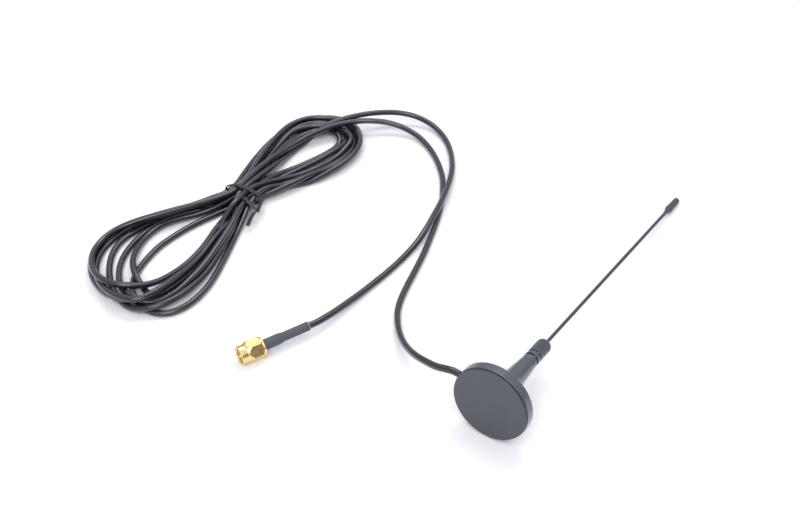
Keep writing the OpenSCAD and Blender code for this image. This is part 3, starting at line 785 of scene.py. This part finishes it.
# The cord's route in tenths of a millimetre, x,y,z, from the base to the plug. Its two free ends
# repeat part.scad's lead and tail routes, apart from the ends of those inside the bundle. The
# bundle isn't worked out here, which is a known fault: its points were sampled from the output
# of another program, which settled strands that had been traced over the photo.
CORD_ROUTE = """
-143,-818,197 -172,-819,199 -204,-820,192 -240,-817,179 -309,-796,154 -373,-764,124 -433,-722,92
-489,-674,64 -542,-619,41 -591,-559,24 -634,-493,15 -665,-420,14 -688,-344,14 -709,-267,14
-730,-191,14 -753,-115,14 -779,-40,14 -806,35,14 -834,109,14 -865,182,14 -901,253,14 -942,321,14
-986,387,14 -1037,447,14 -1094,503,14 -1155,553,14 -1223,594,19 -1297,620,27 -1375,620,41
-1447,593,57 -1509,545,70 -1562,501,73 -1593,468,73 -1637,408,70 -1672,343,63 -1702,275,54
-1717,202,49 -1721,128,51 -1720,53,58 -1716,-21,63 -1708,-96,66 -1696,-169,69 -1685,-243,70
-1681,-318,70 -1700,-390,72 -1731,-458,74 -1767,-523,75 -1806,-587,74 -1846,-650,70 -1886,-713,64
-1921,-778,54 -1934,-821,48 -1937,-865,43 -1928,-909,40 -1910,-950,41 -1874,-997,45 -1817,-1044,58
-1766,-1072,69 -1723,-1085,75 -1679,-1088,76 -1649,-1084,76 -1622,-1073,75 -1598,-1055,71
-1578,-1034,63 -1557,-997,51 -1542,-940,37 -1538,-867,25 -1541,-793,17 -1550,-718,14 -1565,-645,14
-1587,-574,14 -1610,-503,14 -1624,-430,19 -1634,-356,28 -1640,-283,40 -1646,-208,42 -1649,-134,37
-1646,-60,27 -1632,13,17 -1611,85,14 -1591,156,14 -1574,229,14 -1565,303,15 -1568,333,17
-1577,361,23 -1597,382,29 -1624,395,33 -1653,397,34 -1682,389,33 -1708,374,31 -1729,353,30
-1745,328,28 -1759,285,26 -1762,241,26 -1753,166,28 -1738,93,31 -1720,21,32 -1700,-51,33
-1680,-123,28 -1663,-195,19 -1653,-269,16 -1654,-314,15 -1668,-387,14 -1687,-460,15 -1705,-532,15
-1718,-606,15 -1725,-680,14 -1724,-755,15 -1711,-828,14 -1690,-900,14 -1657,-967,14 -1619,-1013,14
-1584,-1040,14 -1530,-1066,14 -1486,-1075,14 -1456,-1074,14 -1427,-1067,14 -1401,-1052,14
-1381,-1030,14 -1367,-1004,15 -1356,-960,16 -1355,-901,17 -1368,-827,16 -1391,-756,15
-1419,-687,14 -1449,-618,14 -1480,-550,14 -1510,-482,18 -1538,-414,30 -1564,-345,44 -1584,-274,54
-1591,-230,56 -1587,-185,51 -1571,-130,38 -1537,-66,20 -1498,-2,14 -1470,50,21 -1446,120,32
-1433,193,38 -1432,268,43 -1443,326,46 -1467,381,47 -1493,417,45 -1538,456,43 -1591,484,40
-1634,496,37 -1678,500,34 -1723,494,32 -1764,477,33 -1800,450,35 -1827,415,38 -1845,374,39
-1856,315,40 -1851,241,41 -1836,168,42 -1817,95,42 -1796,24,42 -1770,-46,44 -1742,-116,46
-1718,-186,49 -1703,-259,51 -1703,-319,52 -1722,-391,52 -1751,-460,52 -1787,-526,51 -1825,-590,49
-1865,-653,45 -1903,-716,38 -1922,-772,25 -1927,-816,18 -1924,-860,14 -1911,-903,14 -1882,-955,18
-1834,-1011,27 -1777,-1058,39 -1712,-1094,49 -1642,-1116,62 -1584,-1123,72 -1539,-1118,76
-1511,-1107,76 -1489,-1087,76 -1477,-1060,76 -1469,-1016,76 -1469,-942,69 -1477,-869,58
-1489,-795,48 -1504,-722,43 -1523,-650,44 -1542,-578,45 -1558,-505,40 -1583,-436,25 -1606,-366,16
-1620,-308,16 -1627,-249,18 -1631,-174,16 -1626,-100,17 -1612,-26,18 -1593,46,19 -1573,118,21
-1555,190,24 -1543,264,28 -1540,324,27 -1544,353,26 -1554,381,23 -1569,406,19 -1591,426,16
-1618,439,14 -1648,442,14 -1677,437,14 -1705,426,15 -1741,399,15 -1769,364,15 -1786,323,14
-1791,278,14 -1786,204,17 -1772,130,19 -1756,58,21 -1738,-15,26 -1719,-87,35 -1697,-158,40
-1678,-230,43 -1672,-304,44 -1680,-363,41 -1706,-433,33 -1744,-497,26 -1784,-560,25 -1810,-614,24
-1820,-657,22 -1821,-702,20 -1810,-761,20 -1780,-829,24 -1737,-889,33 -1682,-939,42 -1645,-963,41
-1578,-993,27 -1535,-1001,18 -1505,-999,14 -1479,-986,14 -1459,-964,14 -1446,-937,14 -1438,-893,14
-1443,-818,14 -1461,-746,14 -1484,-675,14 -1509,-604,14 -1531,-533,14 -1550,-460,14 -1570,-389,16
-1591,-317,23 -1597,-273,26 -1594,-243,29 -1561,-176,34 -1533,-108,41 -1512,-36,43 -1497,37,38
-1479,109,29 -1461,181,25 -1454,256,25 -1461,330,23 -1479,387,19 -1508,439,17 -1546,484,15
-1582,512,14 -1622,531,15 -1666,538,17 -1711,533,17 -1753,517,17 -1790,491,16 -1820,458,15
-1843,420,14 -1862,363,14 -1871,289,14 -1869,214,14 -1860,140,14 -1844,67,14 -1825,-5,14
-1803,-77,14 -1775,-145,23 -1743,-211,36 -1730,-254,41 -1728,-298,42 -1734,-326,40 -1750,-352,37
-1789,-414,26 -1830,-476,17 -1868,-540,14 -1898,-609,14 -1925,-678,14 -1949,-749,16 -1959,-808,17
-1958,-853,17 -1942,-910,15 -1914,-963,14 -1875,-1008,14 -1816,-1053,14 -1748,-1085,16
-1677,-1105,27 -1619,-1110,37 -1589,-1107,41 -1561,-1097,41 -1537,-1080,39 -1498,-1035,41
-1479,-994,42 -1470,-951,39 -1473,-877,30 -1484,-803,21 -1500,-730,15 -1522,-659,14 -1547,-589,14
-1576,-520,22 -1593,-481,36 -1606,-414,65 -1609,-386,74 -1619,-327,76 -1626,-298,72 -1629,-239,68
-1622,-166,54 -1605,-95,37 -1582,-25,22 -1556,44,15 -1534,116,14 -1518,189,14 -1510,263,19
-1512,336,31 -1517,365,37 -1530,392,41 -1553,411,44 -1580,422,45 -1625,427,42 -1669,422,40
-1710,405,40 -1746,378,42 -1784,331,42 -1804,291,39 -1814,248,32 -1811,190,23 -1798,116,16
-1780,44,14 -1760,-28,14 -1735,-98,14 -1705,-167,15 -1684,-239,16 -1679,-298,18 -1684,-327,17
-1706,-383,18 -1744,-447,22 -1786,-509,25 -1823,-574,22 -1844,-630,18 -1850,-689,15 -1843,-763,14
-1824,-835,14 -1793,-903,14 -1748,-963,17 -1693,-1013,24 -1632,-1054,37 -1593,-1071,50
-1552,-1081,65 -1522,-1082,64 -1496,-1074,52 -1474,-1057,42 -1457,-1033,37 -1440,-991,36
-1431,-932,39 -1434,-858,44 -1444,-784,47 -1460,-711,51 -1480,-639,56 -1501,-568,61 -1524,-497,66
-1553,-428,69 -1583,-360,63 -1608,-290,52 -1615,-247,45 -1611,-188,34 -1591,-117,21 -1562,-49,15
-1535,21,15 -1510,92,15 -1491,164,14 -1481,238,14 -1485,312,14 -1501,370,14 -1530,422,15
-1550,444,15 -1574,461,16 -1602,473,16 -1646,480,16 -1691,477,16 -1734,465,16 -1772,443,18
-1804,411,19 -1826,372,19 -1838,329,18 -1843,255,15 -1837,180,14 -1824,107,14 -1806,34,14
-1786,-38,14 -1761,-108,14 -1732,-177,18 -1710,-248,22 -1706,-308,24 -1716,-336,23 -1749,-402,21
-1790,-465,20 -1830,-528,20 -1863,-595,19 -1882,-667,15 -1890,-741,15 -1890,-801,17 -1875,-859,17
-1848,-912,15 -1801,-970,14 -1746,-1020,14 -1684,-1062,14 -1616,-1092,14 -1558,-1105,15
-1514,-1104,24 -1486,-1098,32 -1460,-1085,39 -1437,-1066,43 -1421,-1041,45 -1406,-999,45
-1401,-939,41 -1407,-865,34 -1422,-792,27 -1443,-721,26 -1468,-650,28 -1494,-580,32 -1519,-510,37
-1545,-457,41 -1591,-398,46 -1629,-353,55 -1643,-327,60 -1652,-299,64 -1660,-225,67 -1668,-150,63
-1676,-76,55 -1686,-3,44 -1701,69,30 -1713,142,20 -1718,216,17 -1714,275,24 -1702,331,40
-1676,397,64 -1638,460,76 -1603,509,81 -1560,567,82 -1507,633,76 -1448,693,64 -1377,734,48
-1294,741,33 -1215,716,22 -1144,669,17 -1084,610,16 -1032,544,19 -986,473,25 -947,398,32
-914,320,38 -885,241,43 -859,160,45 -838,78,43 -820,-5,36 -810,-88,23 -806,-172,15 -804,-257,14
-806,-342,14 -811,-426,15 -816,-511,18 -821,-595,25 -827,-679,33 -840,-762,40 -855,-799,40
"""
ROUTE_UNITS = 10

make_housing()
make_pad()
make_grip()
make_sleeve()
make_tip()
nut = make_nut()
shrink = make_shrink()
lip = make_shrink_lip()
tie = make_tie()
cord, cord_path, cord_length = make_cord()

# ---- floor ----

FLOOR_HALF = 4
floor_corners = [(x * FLOOR_HALF, y * FLOOR_HALF, 0)
                 for x, y in ((-1, -1), (1, -1), (1, 1), (-1, 1))]
floor_mesh = bpy.data.meshes.new("floor")
floor_mesh.from_pydata(floor_corners, [], [(0, 1, 2, 3)])
floor = add_object("floor", floor_mesh)
floor_look, _, bsdf = shader("floor")
bsdf.inputs["Base Color"].default_value = (0.90, 0.905, 0.925, 1)
bsdf.inputs["Roughness"].default_value = 0.7
bsdf.inputs["Specular IOR Level"].default_value = 0.15
floor_mesh.materials.append(floor_look)
